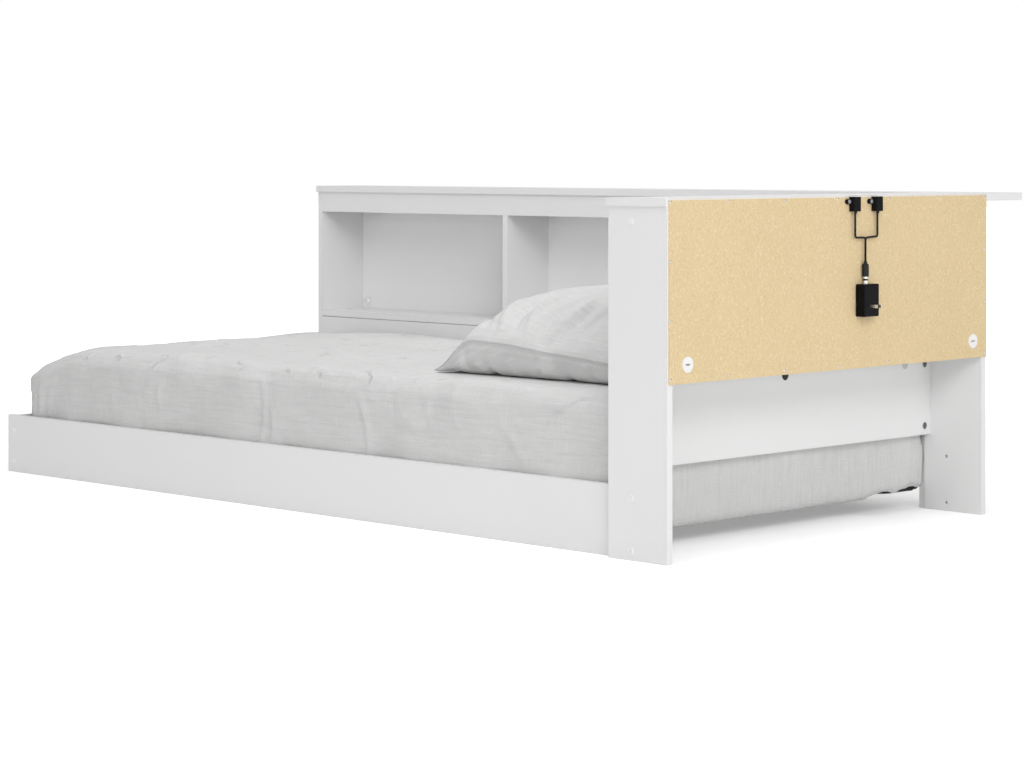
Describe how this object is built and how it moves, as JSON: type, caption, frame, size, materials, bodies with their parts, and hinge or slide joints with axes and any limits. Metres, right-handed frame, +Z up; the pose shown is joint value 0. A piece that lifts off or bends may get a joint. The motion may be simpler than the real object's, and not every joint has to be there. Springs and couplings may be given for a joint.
{
  "type": "bookcase headboard bed",
  "caption": "Low platform bed with an open bookcase across its head and a matching one along the far side, in white board, with mattress, pillow and a charging set behind the head",
  "frame": {"origin": "middle of the bed's footprint, on the floor", "axes": "+X across the bed from its open side to the side bookcase, +Y from the head bookcase to the foot, +Z up"},
  "size_m": [1.1528, 2.162, 0.675],
  "materials": {
    "white_board": "particle board in white laminate, satin",
    "hardboard": "raw tan hardboard",
    "pine": "planed softwood",
    "dowel_wood": "fluted beech",
    "zinc": "die-cast zinc",
    "steel": "bright zinc-plated steel",
    "white_plastic": "moulded white plastic",
    "black_plastic": "moulded black plastic",
    "lead_rubber": "black cable sheath",
    "foam": "foam in a white knitted cover",
    "bed_linen": "pale grey slub linen weave"
  },
  "bodies": {
    "root": {"adapter_base": "black_plastic", "adapter_blades": "steel", "adapter_cover": "black_plastic", "back_nails": "steel", "cable_grommets": "white_plastic", "cam_fittings": "zinc", "centre_runner": "pine", "charger_lead": "lead_rubber", "corner_brackets": "steel", "cover_caps": "white_plastic", "dc_plug": "black_plastic", "deck_screws": "steel", "dowels": "dowel_wood", "far_ledger": "pine", "foot_rail": "white_board", "head_back_board": "hardboard", "head_divider": "white_board", "head_end_panel_far": "white_board", "head_end_panel_near": "white_board", "head_fascia": "white_board", "head_lower_panel": "white_board", "head_shelf": "white_board", "head_top_panel": "white_board", "lower_panel_plugs": "black_plastic", "near_ledger": "pine", "pan_head_screws": "steel", "rail_bolts": "steel", "rail_corner_screws": "steel", "rail_inserts": "steel", "side_back_board": "hardboard", "side_divider_foot": "white_board", "side_divider_head": "white_board", "side_end_panel_foot": "white_board", "side_end_panel_head": "white_board", "side_fascia": "white_board", "side_leg_foot": "white_board", "side_leg_head": "white_board", "side_lower_panel": "white_board", "side_rail": "white_board", "side_shelf": "white_board", "side_top_panel": "white_board", "slat_01": "pine", "slat_02": "pine", "slat_03": "pine", "slat_04": "pine", "slat_05": "pine", "slat_06": "pine", "slat_07": "pine", "slat_08": "pine", "slat_09": "pine", "slat_10": "pine", "slat_11": "pine", "slat_12": "pine", "usb_charger_far": "black_plastic", "usb_charger_near": "black_plastic", "usb_ports": "steel"},
    "mattress_set": {"mattress": "foam", "fitted_sheet": "bed_linen"},
    "pillow_set": {"pillow": "foam", "pillowcase": "bed_linen"}
  },
  "joints": [
    {"name": "mattress_lift", "type": "slide", "parent": "root", "child": "mattress_set", "axis": [0, 0, 1], "range_m": [0, 0.3]},
    {"name": "pillow_lift", "type": "slide", "parent": "mattress_set", "child": "pillow_set", "axis": [0, 0, 1], "range_m": [0, 0.3]}
  ]
}
